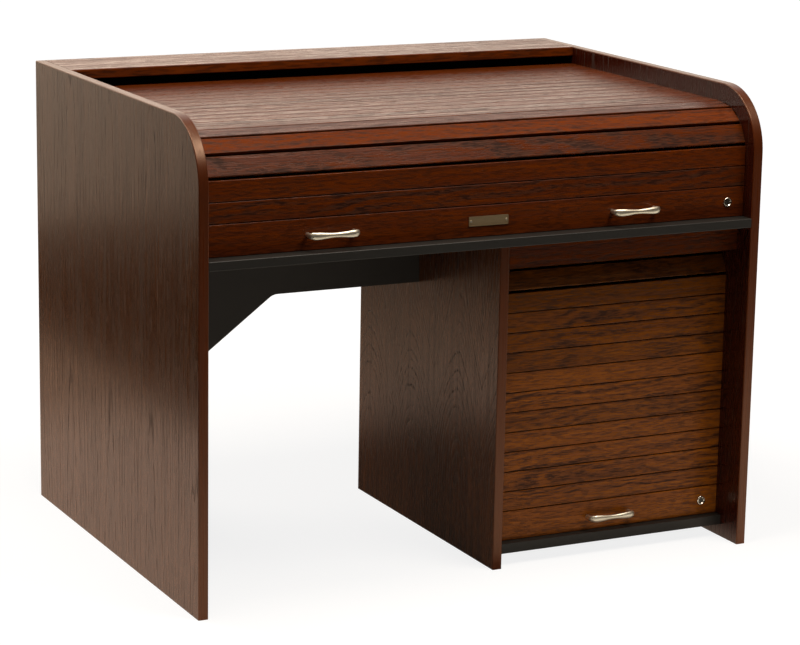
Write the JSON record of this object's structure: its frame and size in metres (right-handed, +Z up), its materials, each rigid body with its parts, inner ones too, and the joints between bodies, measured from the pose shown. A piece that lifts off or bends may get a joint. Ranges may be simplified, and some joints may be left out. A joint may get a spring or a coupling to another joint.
{
  "type": "roll-top desk",
  "caption": "Roll-top desk with rounded side panels, a slatted cover that rolls back over the worktop, and a pedestal closed by a slatted roll-up door.",
  "frame": {"origin": "on the floor, under the middle of the desk's width and depth", "axes": "+X to the sitter's right, -Y to the front where the sitter is, +Z up"},
  "size_m": [1.22, 0.9, 0.945],
  "materials": {
    "side_laminate": "grey-brown oak laminate, vertical grain, satin",
    "edge_band": "red-brown stained solid lipping, satin",
    "black_board": "black melamine faced board, fine matt",
    "cap_board": "red-brown oak laminate, satin",
    "roll_slat_wood": "red-brown stained oak, satin lacquer",
    "door_slat_wood": "brown stained oak, satin lacquer",
    "satin_nickel": "satin nickel plate",
    "lock_chrome": "polished nickel plate",
    "zinc_steel": "zinc plated",
    "block_plastic": "moulded black"
  },
  "bodies": {
    "carcass": {"left_side_panel": "side_laminate", "right_side_panel": "side_laminate", "left_edge_band": "edge_band", "right_edge_band": "edge_band", "worktop": "black_board", "top_cap": "cap_board", "hood_back_panel": "black_board", "roll_top_guard": "black_board", "modesty_panel": "black_board", "pedestal_side_panel": "side_laminate", "pedestal_edge_band": "edge_band", "pedestal_header": "door_slat_wood", "pedestal_base": "black_board", "pedestal_back_panel": "black_board", "corner_blocks": "block_plastic"},
    "roll_leaf": {"roll_lead_rail": "roll_slat_wood", "roll_slat_01": "roll_slat_wood", "roll_slat_02": "roll_slat_wood", "roll_handle_left": "satin_nickel", "roll_handle_right": "satin_nickel", "roll_handle_screws": "zinc_steel", "nameplate": "satin_nickel", "nameplate_pins": "satin_nickel", "roll_lock_barrel": "lock_chrome"},
    "roll_bend_a": {"roll_slat_03": "roll_slat_wood"},
    "roll_bend_b": {"roll_slat_04": "roll_slat_wood"},
    "roll_bend_c": {"roll_slat_05": "roll_slat_wood"},
    "roll_top_run": {"roll_slat_06": "roll_slat_wood", "roll_slat_07": "roll_slat_wood", "roll_slat_08": "roll_slat_wood", "roll_slat_09": "roll_slat_wood", "roll_slat_10": "roll_slat_wood", "roll_slat_11": "roll_slat_wood", "roll_slat_12": "roll_slat_wood", "roll_slat_13": "roll_slat_wood", "roll_slat_14": "roll_slat_wood"},
    "roll_rear_bend_a": {"roll_slat_15": "roll_slat_wood"},
    "roll_rear_bend_b": {"roll_slat_16": "roll_slat_wood"},
    "roll_rear_bend_c": {"roll_slat_17": "roll_slat_wood"},
    "roll_tail": {"roll_slat_18": "roll_slat_wood", "roll_end_rail": "roll_slat_wood"},
    "door_lead": {"door_lead_rail": "door_slat_wood", "door_handle": "satin_nickel", "door_handle_screws": "zinc_steel", "door_lock_barrel": "lock_chrome"},
    "door_bend_a": {"door_slat_01": "door_slat_wood"},
    "door_bend_b": {"door_slat_02": "door_slat_wood"},
    "door_bend_c": {"door_slat_03": "door_slat_wood"},
    "door_leaf": {"door_slat_04": "door_slat_wood", "door_slat_05": "door_slat_wood", "door_slat_06": "door_slat_wood", "door_slat_07": "door_slat_wood", "door_slat_08": "door_slat_wood", "door_slat_09": "door_slat_wood", "door_slat_10": "door_slat_wood", "door_slat_11": "door_slat_wood"},
    "door_tail_a": {"door_slat_12": "door_slat_wood"},
    "door_tail_b": {"door_slat_13": "door_slat_wood"},
    "roll_lock": {"roll_lock_plug": "lock_chrome"},
    "door_lock": {"door_lock_plug": "lock_chrome"}
  },
  "joints": [
    {"name": "roll_open", "type": "hinge", "parent": "carcass", "child": "roll_leaf", "pos_m": [0, -0.2611, 0.7521], "axis": [-1, 0, 0], "range_deg": [0, 90]},
    {"name": "roll_bend_a_turn", "type": "hinge", "parent": "carcass", "child": "roll_bend_a", "pos_m": [0, -0.23933, 0.67827], "axis": [-1, 0, 0], "range_deg": [0, 62]},
    {"name": "roll_bend_b_turn", "type": "hinge", "parent": "carcass", "child": "roll_bend_b", "pos_m": [0, -0.21576, 0.48226], "axis": [-1, 0, 0], "range_deg": [0, 34]},
    {"name": "roll_bend_c_turn", "type": "hinge", "parent": "carcass", "child": "roll_bend_c", "pos_m": [0, -0.1855, -0.70201], "axis": [-1, 0, 0], "range_deg": [0, 9]},
    {"name": "roll_top_slide", "type": "slide", "parent": "carcass", "child": "roll_top_run", "axis": [0, 1, 0], "range_m": [0, 0.25153]},
    {"name": "roll_rear_bend_a_turn", "type": "hinge", "parent": "carcass", "child": "roll_rear_bend_a", "pos_m": [0, 0.1835, -0.70201], "axis": [-1, 0, 0], "range_deg": [0, 9]},
    {"name": "roll_rear_bend_b_turn", "type": "hinge", "parent": "carcass", "child": "roll_rear_bend_b", "pos_m": [0, 0.21376, 0.48226], "axis": [-1, 0, 0], "range_deg": [0, 34]},
    {"name": "roll_rear_bend_c_turn", "type": "hinge", "parent": "carcass", "child": "roll_rear_bend_c", "pos_m": [0, 0.23733, 0.67827], "axis": [-1, 0, 0], "range_deg": [0, 62]},
    {"name": "roll_tail_turn", "type": "hinge", "parent": "carcass", "child": "roll_tail", "pos_m": [0, 0.2591, 0.7521], "axis": [-1, 0, 0], "range_deg": [0, 90]},
    {"name": "door_lift", "type": "slide", "parent": "carcass", "child": "door_lead", "axis": [0, 0, 1], "range_m": [0, 0.4488]},
    {"name": "door_bend_a_turn", "type": "hinge", "parent": "carcass", "child": "door_bend_a", "pos_m": [0, 0.6297, 0.3319], "axis": [-1, 0, 0], "range_deg": [0, 25.63]},
    {"name": "door_bend_b_turn", "type": "hinge", "parent": "carcass", "child": "door_bend_b", "pos_m": [0, 0.11547, 0.3523], "axis": [-1, 0, 0], "range_deg": [0, 51.25]},
    {"name": "door_bend_c_turn", "type": "hinge", "parent": "carcass", "child": "door_bend_c", "pos_m": [0, -0.06167, 0.3727], "axis": [-1, 0, 0], "range_deg": [0, 76.88]},
    {"name": "door_leaf_turn", "type": "hinge", "parent": "carcass", "child": "door_leaf", "pos_m": [0, -0.15269, 0.3931], "axis": [-1, 0, 0], "range_deg": [0, 102.5]},
    {"name": "door_tail_a_turn", "type": "hinge", "parent": "carcass", "child": "door_tail_a", "pos_m": [0, -0.15247, 0.29982], "axis": [-1, 0, 0], "range_deg": [0, 76.88]},
    {"name": "door_tail_b_turn", "type": "hinge", "parent": "carcass", "child": "door_tail_b", "pos_m": [0, -0.1709, 0.12246], "axis": [-1, 0, 0], "range_deg": [0, 51.25]},
    {"name": "roll_lock_turn", "type": "hinge", "parent": "roll_leaf", "child": "roll_lock", "pos_m": [0.552, -0.417, 0.71748], "axis": [0, -1, 0], "range_deg": [0, 90]},
    {"name": "door_lock_turn", "type": "hinge", "parent": "door_lead", "child": "door_lock", "pos_m": [0.552, -0.367, 0.077], "axis": [0, -1, 0], "range_deg": [0, 90]}
  ],
  "couplings": [
    {"joint": "roll_bend_a_turn", "follows": "roll_open", "ratio": 0.68889},
    {"joint": "roll_bend_b_turn", "follows": "roll_open", "ratio": 0.37778},
    {"joint": "roll_bend_c_turn", "follows": "roll_open", "ratio": 0.1},
    {"joint": "roll_top_slide", "follows": "roll_open", "m_per_rad": 0.16013},
    {"joint": "roll_rear_bend_a_turn", "follows": "roll_open", "ratio": 0.1},
    {"joint": "roll_rear_bend_b_turn", "follows": "roll_open", "ratio": 0.37778},
    {"joint": "roll_rear_bend_c_turn", "follows": "roll_open", "ratio": 0.68889},
    {"joint": "roll_tail_turn", "follows": "roll_open", "ratio": 1},
    {"joint": "door_bend_a_turn", "follows": "door_lift", "rad_per_m": 0.99652},
    {"joint": "door_bend_b_turn", "follows": "door_lift", "rad_per_m": 1.993},
    {"joint": "door_bend_c_turn", "follows": "door_lift", "rad_per_m": 2.9896},
    {"joint": "door_leaf_turn", "follows": "door_lift", "rad_per_m": 3.9861},
    {"joint": "door_tail_a_turn", "follows": "door_lift", "rad_per_m": 2.9896},
    {"joint": "door_tail_b_turn", "follows": "door_lift", "rad_per_m": 1.993}
  ]
}
